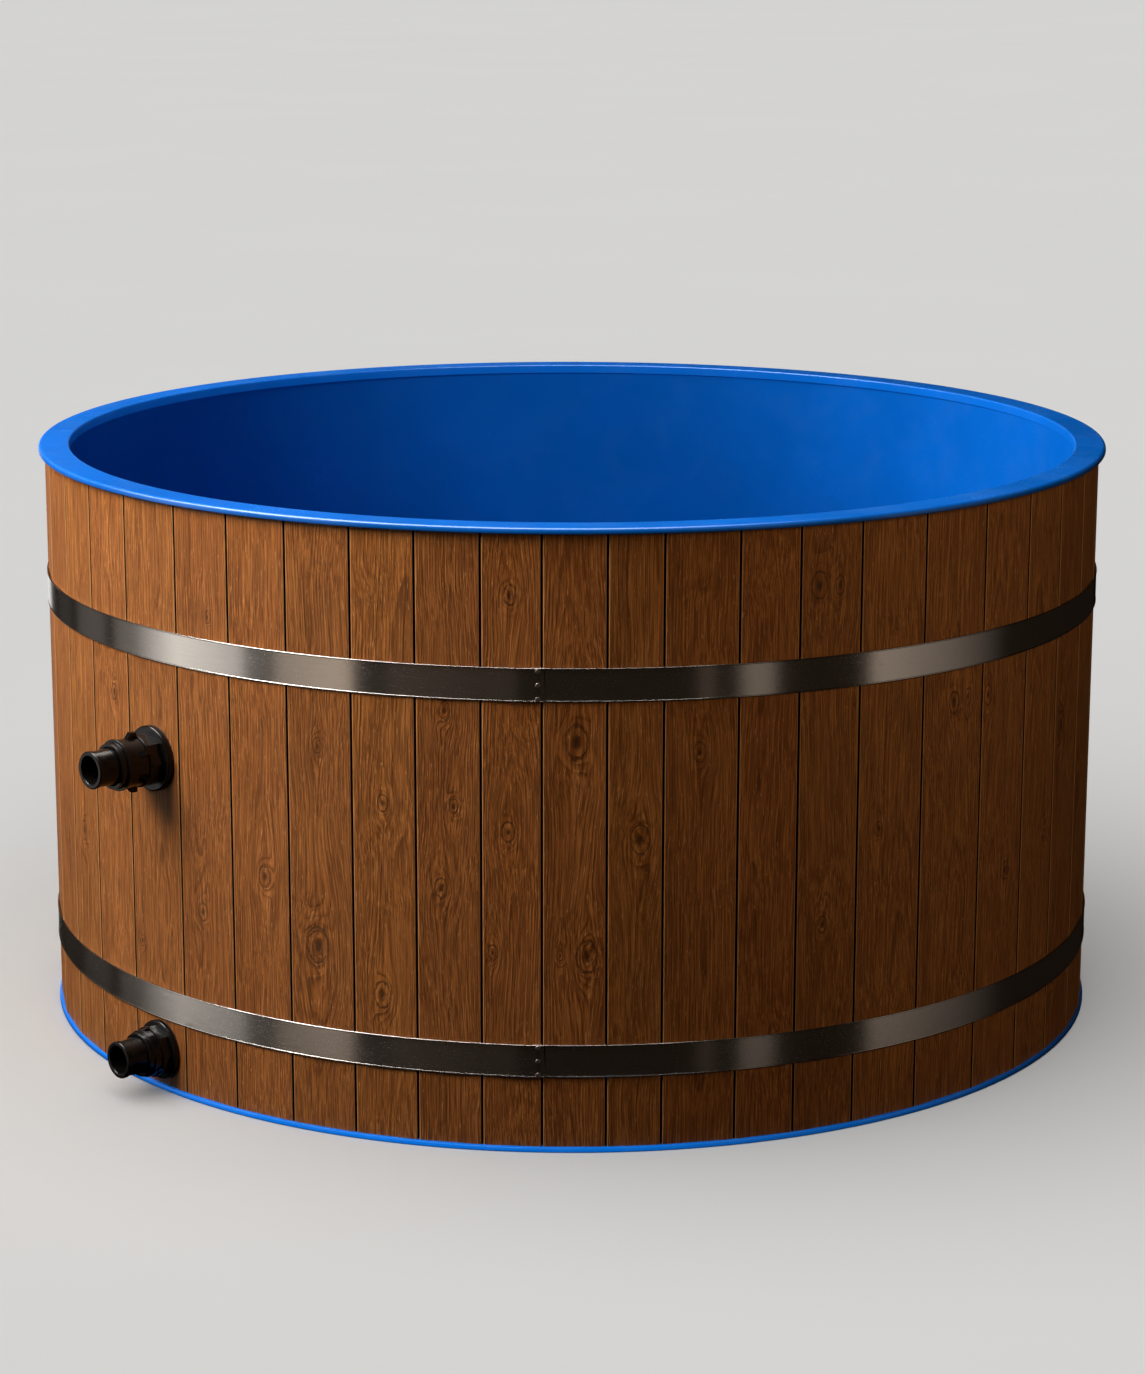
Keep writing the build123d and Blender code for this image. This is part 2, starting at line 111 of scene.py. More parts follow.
# Camera: its turns in degrees, its place, and its focal length in pixels of the photograph's height
CAMERA_PITCH = 13.038784
CAMERA_YAW = 1.090219
CAMERA_ROLL = 0.084211
CAMERA_PLACE = (-0.098642, -5.250670, 1.677791)
FOCAL_PIXELS = 3500.680
PHOTO_HEIGHT = 1374
SENSOR_HEIGHT = 36

# Reflector cards
CARD_DISTANCE = 4.0
ROOM_CARD_DISTANCE = 4.3
OVERHEAD_HEIGHT = 3.4
WARM_GREEN_LOSS = 0.18
WARM_BLUE_LOSS = 0.32


def spot(azimuth, radius, height=0.0):
    """The point at an azimuth, a distance from the tub's axis and a height."""
    turn = math.radians(azimuth)
    return Vector((radius * math.sin(turn), -radius * math.cos(turn), height))


def along(azimuth):
    """The level direction round the tub at an azimuth, towards growing azimuths."""
    turn = math.radians(azimuth)
    return Vector((math.cos(turn), math.sin(turn), 0))


# Making meshes


def finish_piece(name, mesh, material, nodes, body="root", sharp=35):
    """Names a mesh as a piece that stands for CAD nodes, with smooth faces between its sharp edges."""
    piece = bpy.data.objects.new(name, mesh)
    bpy.context.scene.collection.objects.link(piece)
    mesh.materials.clear()
    mesh.materials.append(material)
    mesh.shade_smooth()
    mesh.set_sharp_from_angle(angle=math.radians(sharp))
    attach(piece, body)
    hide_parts(*nodes)
    return piece


def rounded(corners, steps=6):
    """A closed outline from corners (x, y) or (x, y, round), with arcs at the rounded corners."""
    outline = []
    count = len(corners)
    for index, corner in enumerate(corners):
        here = Vector(corner[:2])
        size = corner[2] if len(corner) > 2 else 0
        if not size:
            outline.append(here)
            continue
        before = (Vector(corners[index - 1][:2]) - here).normalized()
        after = (Vector(corners[(index + 1) % count][:2]) - here).normalized()
        half = before.angle(after) / 2
        centre = here + (before + after).normalized() * (size / math.sin(half))
        start = here + before * (size / math.tan(half)) - centre
        end = here + after * (size / math.tan(half)) - centre
        sweep = start.angle_signed(end)
        for step in range(steps + 1):
            turn = -sweep * step / steps
            outline.append(centre + Matrix.Rotation(turn, 2) @ start)
    return outline


def turned_mesh(name, corners, segments=480):
    """A ring or disc turned round the tub's axis from an outline of radii and heights."""
    outline = rounded(corners)
    shape = bmesh.new()
    rings = []
    for segment in range(segments):
        azimuth = 360 * segment / segments
        rings.append([shape.verts.new(spot(azimuth, point.x, point.y)) for point in outline])
    for segment, ring in enumerate(rings):
        following = rings[(segment + 1) % segments]
        for index in range(len(outline)):
            after = (index + 1) % len(outline)
            shape.faces.new((ring[index], following[index], following[after], ring[after]))
    bmesh.ops.remove_doubles(shape, verts=shape.verts, dist=1e-6)
    bmesh.ops.recalc_face_normals(shape, faces=shape.faces)
    mesh = bpy.data.meshes.new(name)
    shape.to_mesh(mesh)
    shape.free()
    return mesh


def pierced(mesh):
    """The mesh with the two round holes that the hose fittings pass through."""
    azimuth = sum(board_edges()[FITTING_BOARD - 1:FITTING_BOARD + 1]) / 2
    piece = bpy.data.objects.new("pierced", mesh)
    bpy.context.scene.collection.objects.link(piece)
    drills = []
    for height in FITTING_HEIGHTS:
        shape = bmesh.new()
        bmesh.ops.create_cone(
            shape, cap_ends=True, segments=96,
            radius1=WALL_HOLE_RADIUS, radius2=WALL_HOLE_RADIUS,
            depth=DRILL_DEPTH,
        )
        facing = spot(azimuth, 1).to_track_quat("Z", "Y").to_matrix().to_4x4()
        shape.transform(Matrix.Translation(spot(azimuth, LINER_INNER_RADIUS, height)) @ facing)
        drill_mesh = bpy.data.meshes.new("drill")
        shape.to_mesh(drill_mesh)
        shape.free()
        drill = bpy.data.objects.new("drill", drill_mesh)
        bpy.context.scene.collection.objects.link(drill)
        cut = piece.modifiers.new("hole", "BOOLEAN")
        cut.operation = "DIFFERENCE"
        cut.solver = "EXACT"
        cut.object = drill
        drills.append(drill)
    seen = bpy.context.evaluated_depsgraph_get()
    result = bpy.data.meshes.new_from_object(piece.evaluated_get(seen))
    for leftover in (piece, *drills):
        bpy.data.objects.remove(leftover)
    return result


# Building materials


def add(tree, kind, inputs=None, **settings):
    """Adds a node, with its settings, and its inputs linked or given plain values."""
    node = tree.nodes.new("ShaderNode" + kind)
    for name, value in settings.items():
        setattr(node, name, value)
    for name, value in (inputs or {}).items():
        if isinstance(value, bpy.types.NodeSocket):
            tree.links.new(value, node.inputs[name])
        else:
            node.inputs[name].default_value = value
    return node


def calc(tree, operation, *values, clamp=False):
    """One sum on plain values."""
    node = add(tree, "Math", dict(enumerate(values)), operation=operation, use_clamp=clamp)
    return node.outputs[0]


def vector(tree, operation, *values):
    """One sum on vectors."""
    return add(tree, "VectorMath", dict(enumerate(values)), operation=operation).outputs["Vector"]


def remap(tree, value, low, high, start=0.0, end=1.0, smooth=True):
    """Maps a value from low..high to start..end, held at both ends."""
    node = add(
        tree, "MapRange",
        {"Value": value, "From Min": low, "From Max": high, "To Min": start, "To Max": end},
        interpolation_type="SMOOTHSTEP" if smooth else "LINEAR",
    )
    return node.outputs["Result"]


def noise(tree, place, scale, detail=2.0, roughness=0.5):
    """Clouded values from 0 to 1."""
    node = add(
        tree, "TexNoise",
        {"Vector": place, "Scale": scale, "Detail": detail, "Roughness": roughness},
        noise_dimensions="3D",
    )
    return node.outputs["Fac"]


def stretched(tree, place, across, up, deep):
    """A place scaled by a different amount each way."""
    return vector(tree, "MULTIPLY", place, (across, up, deep))


def blend(tree, amount, first, second):
    """One colour mixed with another."""
    node = tree.nodes.new("ShaderNodeMix")
    node.data_type = "RGBA"
    for index, value in ((0, amount), (6, first), (7, second)):
        if isinstance(value, bpy.types.NodeSocket):
            tree.links.new(value, node.inputs[index])
        elif index == 0:
            node.inputs[index].default_value = value
        else:
            node.inputs[index].default_value = (*value, 1)
    return node.outputs[2]


def new_group(name, inputs, outputs):
    """An empty shader node group, and its inputs and outputs by name."""
    group = bpy.data.node_groups.new(name, "ShaderNodeTree")
    for label, (kind, value) in inputs.items():
        socket = group.interface.new_socket(name=label, in_out="INPUT", socket_type="NodeSocket" + kind)
        socket.default_value = value
    for label, kind in outputs.items():
        group.interface.new_socket(name=label, in_out="OUTPUT", socket_type="NodeSocket" + kind)
    enter = group.nodes.new("NodeGroupInput")
    leave = group.nodes.new("NodeGroupOutput")
    return group, enter.outputs, leave.inputs


def use_group(tree, group, **inputs):
    """Places a node group. An underscore in an input's name stands for a space."""
    node = tree.nodes.new("ShaderNodeGroup")
    node.node_tree = group
    for name, value in inputs.items():
        socket = node.inputs[name.replace("_", " ")]
        if isinstance(value, bpy.types.NodeSocket):
            tree.links.new(value, socket)
        else:
            socket.default_value = value
    return node.outputs


def new_material(name, **constants):
    """A material with one surface shader, its plain values set on the shader's own sockets."""
    material = bpy.data.materials.new(name)
    material.use_nodes = True
    tree = material.node_tree
    shader = tree.nodes["Principled BSDF"]
    for label, value in constants.items():
        shader.inputs[label.replace("_", " ")].default_value = value
    return material, tree, shader.inputs


def object_place(tree):
    """The place on a piece in metres, which stays with it as it moves."""
    return add(tree, "TexCoord").outputs["Object"]


def bump(tree, height, distance, strength):
    """A normal that follows a height. The distance is in metres."""
    node = add(tree, "Bump", {"Height": height, "Distance": distance, "Strength": strength})
    return node.outputs["Normal"]


def make_moulded_skin_group():
    """The fine unevenness of a plastic or rubber skin: broad flow marks and a small grit."""
    group, given, result = new_group(
        "moulded_skin",
        {"Place": ("Vector", (0, 0, 0)), "Flow Size": ("Float", 8.0), "Grit Size": ("Float", 900.0)},
        {"Flow": "Float", "Grit": "Float"},
    )
    result_flow = noise(group, given["Place"], given["Flow Size"], 4.0, 0.6)
    result_grit = noise(group, given["Place"], given["Grit Size"], 2.0, 0.7)
    group.links.new(result_flow, result["Flow"])
    group.links.new(result_grit, result["Grit"])
    return group


def make_dust_group():
    """Where dust and dried splashes settle: patchy, and more on faces that look up."""
    group, given, result = new_group(
        "settled_dust",
        {"Place": ("Vector", (0, 0, 0)), "Patch Size": ("Float", 30.0), "Amount": ("Float", 0.5)},
        {"Mask": "Float"},
    )
    normal = add(group, "NewGeometry").outputs["Normal"]
    upward = add(group, "SeparateXYZ", {0: normal}).outputs["Z"]
    facing = remap(group, upward, -0.4, 0.9, 0.25, 1.0)
    patches = remap(group, noise(group, given["Place"], given["Patch Size"], 5.0, 0.62), 0.42, 0.72)
    mask = calc(group, "MULTIPLY", calc(group, "MULTIPLY", facing, patches), given["Amount"], clamp=True)
    group.links.new(mask, result["Mask"])
    return group


def make_fine_scratch_group():
    """Short faint scratches that run every way, as a mask."""
    group, given, result = new_group(
        "fine_scratches",
        {"Place": ("Vector", (0, 0, 0)), "Scale": ("Float", 40.0), "Amount": ("Float", 0.5)},
        {"Mask": "Float"},
    )
    total = None
    for lean in (0.3, 1.4, 2.5):
        turned_place = add(
            group, "VectorRotate", {"Vector": given["Place"], "Angle": lean, "Axis": (0.4, 0.3, 0.86)}
        ).outputs["Vector"]
        lines = noise(group, vector(group, "MULTIPLY", turned_place, (1, 14, 14)), given["Scale"], 1.0)
        thin = remap(group, lines, 0.66, 0.72)
        total = thin if total is None else calc(group, "MAXIMUM", total, thin)
    group.links.new(calc(group, "MULTIPLY", total, given["Amount"]), result["Mask"])
    return group


def make_knot_group():
    """Bends a board's grain round one knot. A knot is across, along and size; size 0 is no knot."""
    group, given, result = new_group(
        "grain_round_a_knot",
        {
            "Across": ("Float", 0.0), "Along": ("Float", 0.0), "Knot": ("Vector", (0, 0, 0)),
            "Rings": ("Float", 0.0), "Heart": ("Float", 0.0), "Ragged": ("Float", 0.5),
        },
        {"Across": "Float", "Rings": "Float", "Heart": "Float"},
    )
    knot = add(group, "SeparateXYZ", {0: given["Knot"]}).outputs
    there = calc(group, "GREATER_THAN", knot["Z"], 0.0005)
    size = calc(group, "MAXIMUM", knot["Z"], 0.001)
    sideways = calc(group, "DIVIDE", calc(group, "SUBTRACT", given["Across"], knot["X"]), size)
    upward = calc(group, "DIVIDE", calc(group, "SUBTRACT", given["Along"], knot["Y"]), size)
    squashed = calc(group, "MULTIPLY", upward, 0.62)
    away = calc(
        group, "ADD", calc(group, "MULTIPLY", sideways, sideways), calc(group, "MULTIPLY", squashed, squashed)
    )
    distance = calc(group, "SQRT", away)
    long_away = calc(
        group, "ADD",
        calc(group, "MULTIPLY", sideways, sideways),
        calc(group, "MULTIPLY", calc(group, "MULTIPLY", upward, upward), 0.12),
    )
    bow = calc(group, "EXPONENT", calc(group, "MULTIPLY", long_away, -0.16))
    bow = calc(group, "MULTIPLY", calc(group, "MULTIPLY", bow, there), 0.8)
    pulled = calc(group, "MULTIPLY", calc(group, "MULTIPLY", sideways, size), bow)
    across = calc(group, "SUBTRACT", given["Across"], pulled)
    hump = calc(group, "EXPONENT", calc(group, "MULTIPLY", away, -0.42))
    added = calc(group, "MULTIPLY", calc(group, "MULTIPLY", hump, there), 3.6)
    rings = calc(group, "ADD", given["Rings"], added)
    wobble = calc(group, "MULTIPLY", calc(group, "SUBTRACT", given["Ragged"], 0.5), 0.5)
    uneven = calc(group, "ADD", distance, wobble)
    heart = calc(group, "SUBTRACT", 1.0, remap(group, uneven, 0.12, 0.62))
    outline = calc(
        group, "MULTIPLY", remap(group, uneven, 0.90, 1.02), remap(group, uneven, 1.02, 1.22, 0.85, 0.0)
    )
    heart = calc(group, "MULTIPLY", calc(group, "MAXIMUM", heart, outline), there)
    heart = calc(group, "MAXIMUM", given["Heart"], heart)
    group.links.new(across, result["Across"])
    group.links.new(rings, result["Rings"])
    group.links.new(heart, result["Heart"])
    return group


def make_brushed_group():
    """Long fine lines round the tub, as left by a belt grinder, and broad cloudiness."""
    group, given, result = new_group(
        "brushed_lines",
        {"Place": ("Vector", (0, 0, 0))},
        {"Lines": "Float", "Cloud": "Float"},
    )
    part = add(group, "SeparateXYZ", {0: given["Place"]}).outputs
    azimuth = calc(group, "ARCTAN2", part["X"], part["Y"])
    bent = add(
        group, "CombineXYZ",
        {"X": calc(group, "MULTIPLY", azimuth, 14.0), "Y": calc(group, "MULTIPLY", part["Z"], 2600.0)},
    ).outputs[0]
    lines = noise(group, bent, 1.0, 3.0, 0.7)
    cloud = noise(group, given["Place"], 9.0, 3.0, 0.55)
    group.links.new(lines, result["Lines"])
    group.links.new(cloud, result["Cloud"])
    return group


moulded_skin = make_moulded_skin_group()
settled_dust = make_dust_group()
fine_scratches = make_fine_scratch_group()
knot_grain = make_knot_group()
brushed_lines = make_brushed_group()


def make_board_wood():
    """Oiled softwood boards: growth rings cut flat, knots, fibres, a tone for each board, painted shade with
    dirt in the joints, and a painted highlight with wear on the arrises.
    """
    material, tree, shader = new_material(
        "oiled_stave_wood", IOR=1.5, Specular_IOR_Level=0.75, Specular_Tint=(1.0, 0.93, 0.62, 1.0)
    )
    place = add(tree, "Attribute", attribute_name="board_place").outputs["Vector"]
    seed = add(tree, "Attribute", attribute_name="board_seed").outputs["Vector"]
    across, upright, depth = add(tree, "SeparateXYZ", {0: place}).outputs
    pith_side, pith_depth, tone = add(tree, "SeparateXYZ", {0: seed}).outputs
    shift = add(tree, "VectorMath", {0: seed, "Scale": 37.0}, operation="SCALE").outputs["Vector"]
    own_place = vector(tree, "ADD", place, shift)

    sway = noise(tree, stretched(tree, own_place, 6, 3.0, 6), 1.0, 2.0)
    sway = calc(tree, "MULTIPLY", calc(tree, "SUBTRACT", sway, 0.5), 0.030)
    ripple = noise(tree, stretched(tree, own_place, 70, 16, 70), 1.0, 2.0)
    ripple = calc(tree, "MULTIPLY", calc(tree, "SUBTRACT", ripple, 0.5), 0.0022)
    ragged = noise(tree, stretched(tree, own_place, 260, 180, 260), 1.0, 2.0)
    grain_across = across
    rings = None
    heart = None
    for number in range(1, KNOTS_PER_BOARD + 1):
        knot = add(tree, "Attribute", attribute_name=f"knot_{number}").outputs["Vector"]
        given = {"Across": grain_across, "Along": upright, "Knot": knot, "Ragged": ragged}
        if rings is not None:
            given["Rings"] = rings
            given["Heart"] = heart
        bent = use_group(tree, knot_grain, **given)
        grain_across, rings, heart = bent["Across"], bent["Rings"], bent["Heart"]
    pith_across = calc(tree, "MULTIPLY", calc(tree, "SUBTRACT", pith_side, 0.5), 0.045)
    from_pith = calc(
        tree, "ADD", calc(tree, "SUBTRACT", grain_across, pith_across), calc(tree, "ADD", sway, ripple)
    )
    lean = calc(tree, "MULTIPLY", calc(tree, "SUBTRACT", tone, 0.5), 0.09)
    pith_away = calc(tree, "ADD", calc(tree, "MULTIPLY", pith_depth, 0.035), 0.014)
    pith_away = calc(
        tree, "ADD", pith_away, calc(tree, "MULTIPLY", calc(tree, "SUBTRACT", upright, 0.42), lean)
    )
    pith_away = calc(tree, "ADD", pith_away, calc(tree, "MULTIPLY", sway, 0.9))
    behind = calc(tree, "SUBTRACT", pith_away, depth)
    squares = (calc(tree, "MULTIPLY", from_pith, from_pith), calc(tree, "MULTIPLY", behind, behind))
    radius = calc(tree, "SQRT", calc(tree, "ADD", *squares))
    ring_number = calc(tree, "ADD", calc(tree, "DIVIDE", radius, RING_SPACING), rings)
    part_ring = calc(tree, "FRACT", ring_number)
    late = calc(
        tree, "MULTIPLY", remap(tree, part_ring, 0.42, 0.88), remap(tree, part_ring, 0.91, 1.0, 1.0, 0.0)
    )
    ring_strength = add(
        tree, "TexNoise", {"W": calc(tree, "ADD", calc(tree, "FLOOR", ring_number), pith_side), "Scale": 3.7},
        noise_dimensions="1D",
    ).outputs["Fac"]
    patchy = noise(tree, stretched(tree, own_place, 55, 9, 55), 1.0, 3.0, 0.6)
    late = calc(tree, "MULTIPLY", late, remap(tree, ring_strength, 0.30, 0.62, 0.25, 1.0))
    late = calc(tree, "MULTIPLY", late, remap(tree, patchy, 0.30, 0.62, 0.35, 1.0))

    bent_place = add(tree, "CombineXYZ", {"X": from_pith, "Y": upright, "Z": behind}).outputs[0]
    bent_place = vector(tree, "ADD", bent_place, shift)
    fibre = noise(tree, stretched(tree, bent_place, 1250, 20, 1250), 1.0, 2.0, 0.6)
    line = noise(tree, stretched(tree, bent_place, 620, 6.5, 620), 1.0, 2.0, 0.55)
    streak = noise(tree, stretched(tree, bent_place, 150, 2.4, 150), 1.0, 3.0, 0.6)
    fleck = noise(tree, stretched(tree, bent_place, 620, 70, 620), 1.0, 1.0, 0.5)
    cloud = noise(tree, stretched(tree, own_place, 16, 4.5, 16), 1.0, 3.0, 0.55)

    colour = blend(tree, remap(tree, cloud, 0.3, 0.7), (0.460, 0.146, 0.0310), (0.530, 0.178, 0.0400))
    colour = blend(tree, calc(tree, "MULTIPLY", late, 0.80), colour, (0.130, 0.036, 0.0075))
    colour = blend(tree, remap(tree, streak, 0.34, 0.62, 0.34, 0.0), colour, (0.210, 0.060, 0.0130))
    colour = blend(tree, remap(tree, line, 0.40, 0.50, 0.55, 0.0), colour, (0.125, 0.034, 0.0070))
    colour = blend(tree, remap(tree, line, 0.55, 0.63, 0.0, 0.38), colour, (0.760, 0.300, 0.0850))
    colour = blend(tree, remap(tree, fibre, 0.38, 0.52, 0.62, 0.0), colour, (0.110, 0.030, 0.0060))
    colour = blend(tree, remap(tree, fleck, 0.67, 0.74, 0.0, 0.45), colour, (0.85, 0.40, 0.140))
    colour = blend(tree, calc(tree, "MULTIPLY", heart, 0.85), colour, (0.052, 0.016, 0.0050))
    board_tone = remap(tree, tone, 0.0, 1.0, 0.93, 1.07, smooth=False)
    board_hue = remap(tree, pith_depth, 0.0, 1.0, 0.4985, 0.5015, smooth=False)
    toned = add(tree, "HueSaturation", {"Hue": board_hue, "Value": board_tone, "Color": colour})
    colour = toned.outputs["Color"]
    # Painted highlight: the outer part of each arris is painted lighter, standing in for light catching the
    # rounded edge, together with some edge wear.
    arris_highlight_and_wear = remap(tree, depth, 0.00003, 0.0002, 0.0, 0.8)
    colour = blend(tree, arris_highlight_and_wear, colour, (0.80, 0.36, 0.125))
    # Painted shade: deeper in the joint recess the colour turns near black, standing in for the shade that
    # falls there, together with some dirt. The recess is also rougher.
    joint_shade_and_dirt = remap(tree, depth, 0.0005, 0.0009)
    colour = blend(tree, joint_shade_and_dirt, colour, (0.004, 0.0014, 0.0006))
    tree.links.new(colour, shader["Base Color"])

    unevenness = calc(tree, "ADD", calc(tree, "MULTIPLY", fibre, 0.6), calc(tree, "MULTIPLY", cloud, 0.4))
    rough = remap(tree, unevenness, 0.3, 0.7, 0.46, 0.62)
    rough = calc(tree, "ADD", rough, calc(tree, "MULTIPLY", joint_shade_and_dirt, 0.3))
    tree.links.new(rough, shader["Roughness"])
    height = calc(tree, "ADD", calc(tree, "MULTIPLY", fibre, 0.7), calc(tree, "MULTIPLY", line, 1.2))
    height = calc(tree, "ADD", height, calc(tree, "MULTIPLY", late, 0.5))
    height = calc(tree, "SUBTRACT", height, calc(tree, "MULTIPLY", heart, 0.5))
    tree.links.new(bump(tree, height, 0.0009, 0.8), shader["Normal"])
    return material


def make_blue_plastic():
    """Blue welding-grade sheet: a soft sheen, faint flow marks, a few scratches and dried splashes."""
    material, tree, shader = new_material("blue_sheet_plastic", IOR=1.49)
    place = object_place(tree)
    skin = use_group(tree, moulded_skin, Place=place, Flow_Size=5.0, Grit_Size=700.0)
    scratches = use_group(tree, fine_scratches, Place=place, Scale=26.0, Amount=0.2)
    dust = use_group(tree, settled_dust, Place=place, Patch_Size=14.0, Amount=0.06)
    colour = blend(tree, remap(tree, skin["Flow"], 0.3, 0.7), (0.0012, 0.098, 0.425), (0.0020, 0.110, 0.475))
    colour = blend(tree, calc(tree, "MULTIPLY", scratches["Mask"], 0.06), colour, (0.05, 0.28, 0.85))
    colour = blend(tree, dust["Mask"], colour, (0.16, 0.26, 0.45))
    tree.links.new(colour, shader["Base Color"])
    rough = remap(tree, skin["Flow"], 0.3, 0.7, 0.20, 0.27)
    rough = calc(tree, "ADD", rough, calc(tree, "MULTIPLY", scratches["Mask"], 0.08))
    tree.links.new(rough, shader["Roughness"])
    height = calc(tree, "ADD", calc(tree, "MULTIPLY", skin["Grit"], 0.1), skin["Flow"])
    tree.links.new(bump(tree, height, 0.00010, 0.15), shader["Normal"])
    return material


def make_brushed_steel():
    """Steel strip brushed along its length, slightly cloudy from handling."""
    material, tree, shader = new_material(
        "brushed_hoop_steel", Metallic=1.0, Anisotropic=0.92, Anisotropic_Rotation=0.25
    )
    place = object_place(tree)
    brushed = use_group(tree, brushed_lines, Place=place)
    scratches = use_group(tree, fine_scratches, Place=place, Scale=60.0, Amount=0.6)
    lines = remap(tree, brushed["Lines"], 0.3, 0.7)
    colour = blend(tree, lines, (0.520, 0.480, 0.438), (0.610, 0.565, 0.515))
    colour = blend(tree, remap(tree, brushed["Cloud"], 0.4, 0.75, 0.0, 0.3), colour, (0.500, 0.460, 0.420))
    tree.links.new(colour, shader["Base Color"])
    rough = remap(tree, brushed["Lines"], 0.3, 0.7, 0.17, 0.22)
    rough = calc(tree, "ADD", rough, remap(tree, brushed["Cloud"], 0.35, 0.7, 0.0, 0.02))
    rough = calc(tree, "ADD", rough, calc(tree, "MULTIPLY", scratches["Mask"], 0.1))
    tree.links.new(rough, shader["Roughness"])
    tree.links.new(bump(tree, brushed["Lines"], 0.00003, 0.35), shader["Normal"])
    tangent = add(tree, "Tangent", direction_type="RADIAL", axis="Z").outputs["Tangent"]
    tree.links.new(tangent, shader["Tangent"])
    return material


def make_rivet_steel():
    """Plain steel rivets, tumbled rather than brushed."""
    material, tree, shader = new_material("tumbled_rivet_steel", Metallic=1.0)
    place = object_place(tree)
    skin = use_group(tree, moulded_skin, Place=place, Flow_Size=120.0, Grit_Size=1800.0)
    scratches = use_group(tree, fine_scratches, Place=place, Scale=220.0, Amount=0.8)
    colour = blend(tree, remap(tree, skin["Flow"], 0.3, 0.7), (0.62, 0.56, 0.48), (0.75, 0.68, 0.60))
    tree.links.new(colour, shader["Base Color"])
    rough = remap(tree, skin["Grit"], 0.3, 0.7, 0.24, 0.34)
    rough = calc(tree, "SUBTRACT", rough, calc(tree, "MULTIPLY", scratches["Mask"], 0.1))
    tree.links.new(rough, shader["Roughness"])
    tree.links.new(bump(tree, skin["Grit"], 0.00005, 0.3), shader["Normal"])
    return material


def make_black_plastic():
    """Black moulded plastic with a satin skin, and brown dust mostly on faces that look up."""
    material, tree, shader = new_material("black_fitting_plastic", IOR=1.5, Specular_IOR_Level=0.3)
    place = object_place(tree)
    skin = use_group(tree, moulded_skin, Place=place, Flow_Size=60.0, Grit_Size=1500.0)
    dust = use_group(tree, settled_dust, Place=place, Patch_Size=55.0, Amount=0.22)
    scratches = use_group(tree, fine_scratches, Place=place, Scale=160.0, Amount=0.7)
    flow = remap(tree, skin["Flow"], 0.3, 0.7)
    colour = blend(tree, flow, (0.0034, 0.0030, 0.0028), (0.0060, 0.0052, 0.0046))
    colour = blend(tree, dust["Mask"], colour, (0.024, 0.014, 0.009))
    colour = blend(tree, calc(tree, "MULTIPLY", scratches["Mask"], 0.25), colour, (0.030, 0.027, 0.025))
    tree.links.new(colour, shader["Base Color"])
    rough = remap(tree, skin["Flow"], 0.3, 0.7, 0.14, 0.20)
    tree.links.new(calc(tree, "ADD", rough, calc(tree, "MULTIPLY", dust["Mask"], 0.6)), shader["Roughness"])
    height = calc(tree, "ADD", skin["Grit"], skin["Flow"])
    tree.links.new(bump(tree, height, 0.00008, 0.25), shader["Normal"])
    return material


def make_seal_rubber():
    """Black rubber of the gaskets and O-rings, dull and dusty."""
    material, tree, shader = new_material("black_seal_rubber", IOR=1.5)
    place = object_place(tree)
    skin = use_group(tree, moulded_skin, Place=place, Flow_Size=90.0, Grit_Size=2200.0)
    dust = use_group(tree, settled_dust, Place=place, Patch_Size=80.0, Amount=0.3)
    colour = blend(tree, remap(tree, skin["Grit"], 0.3, 0.7), (0.010, 0.010, 0.010), (0.017, 0.016, 0.016))
    colour = blend(tree, dust["Mask"], colour, (0.09, 0.07, 0.055))
    tree.links.new(colour, shader["Base Color"])
    tree.links.new(remap(tree, skin["Flow"], 0.3, 0.7, 0.62, 0.78), shader["Roughness"])
    tree.links.new(bump(tree, skin["Grit"], 0.0001, 0.4), shader["Normal"])
    return material


def make_cell_foam():
    """Grey closed-cell foam sheet."""
    material, tree, shader = new_material("grey_cell_foam", IOR=1.4)
    place = object_place(tree)
    cells = add(tree, "TexVoronoi", {"Vector": place, "Scale": 420.0}, feature="F1").outputs["Distance"]
    skin = use_group(tree, moulded_skin, Place=place, Flow_Size=12.0, Grit_Size=600.0)
    colour = blend(tree, remap(tree, cells, 0.1, 0.6), (0.10, 0.105, 0.11), (0.17, 0.175, 0.18))
    colour = blend(tree, remap(tree, skin["Flow"], 0.4, 0.7, 0.0, 0.4), colour, (0.21, 0.21, 0.21))
    tree.links.new(colour, shader["Base Color"])
    tree.links.new(remap(tree, skin["Grit"], 0.3, 0.7, 0.75, 0.9), shader["Roughness"])
    tree.links.new(bump(tree, cells, 0.0005, 0.5), shader["Normal"])
    return material


board_wood = make_board_wood()
blue_plastic = make_blue_plastic()
hoop_steel = make_brushed_steel()
rivet_steel = make_rivet_steel()
black_plastic = make_black_plastic()
seal_rubber = make_seal_rubber()
cell_foam = make_cell_foam()


# Boards


def board_edges():
    """The azimuths of the joints between boards, and of the last board's far edge."""
    turn = 360.0 / (BOARD_REPEATS * sum(BOARD_COVER_WIDTHS))
    edges = [FIRST_BOARD_EDGE]
    for width in BOARD_COVER_WIDTHS * BOARD_REPEATS:
        edges.append(edges[-1] + width * turn)
    return edges


EDGES = board_edges()
WIDEST_HALF_TURN = max(math.radians((end - start) / 2) for start, end in zip(EDGES, EDGES[1:]))
BOARD_BACK = LINER_INNER_RADIUS + LINER_THICKNESS + FOAM_THICKNESS + BOARD_BACK_CLEARANCE
CORNER_RADIUS = (BOARD_BACK + BOARD_THICKNESS) / math.cos(WIDEST_HALF_TURN)
BOARD_BOTTOM = FLOOR_PLATE_THICKNESS
BOARD_TOP = TUB_HEIGHT - RIM_LIP_THICKNESS


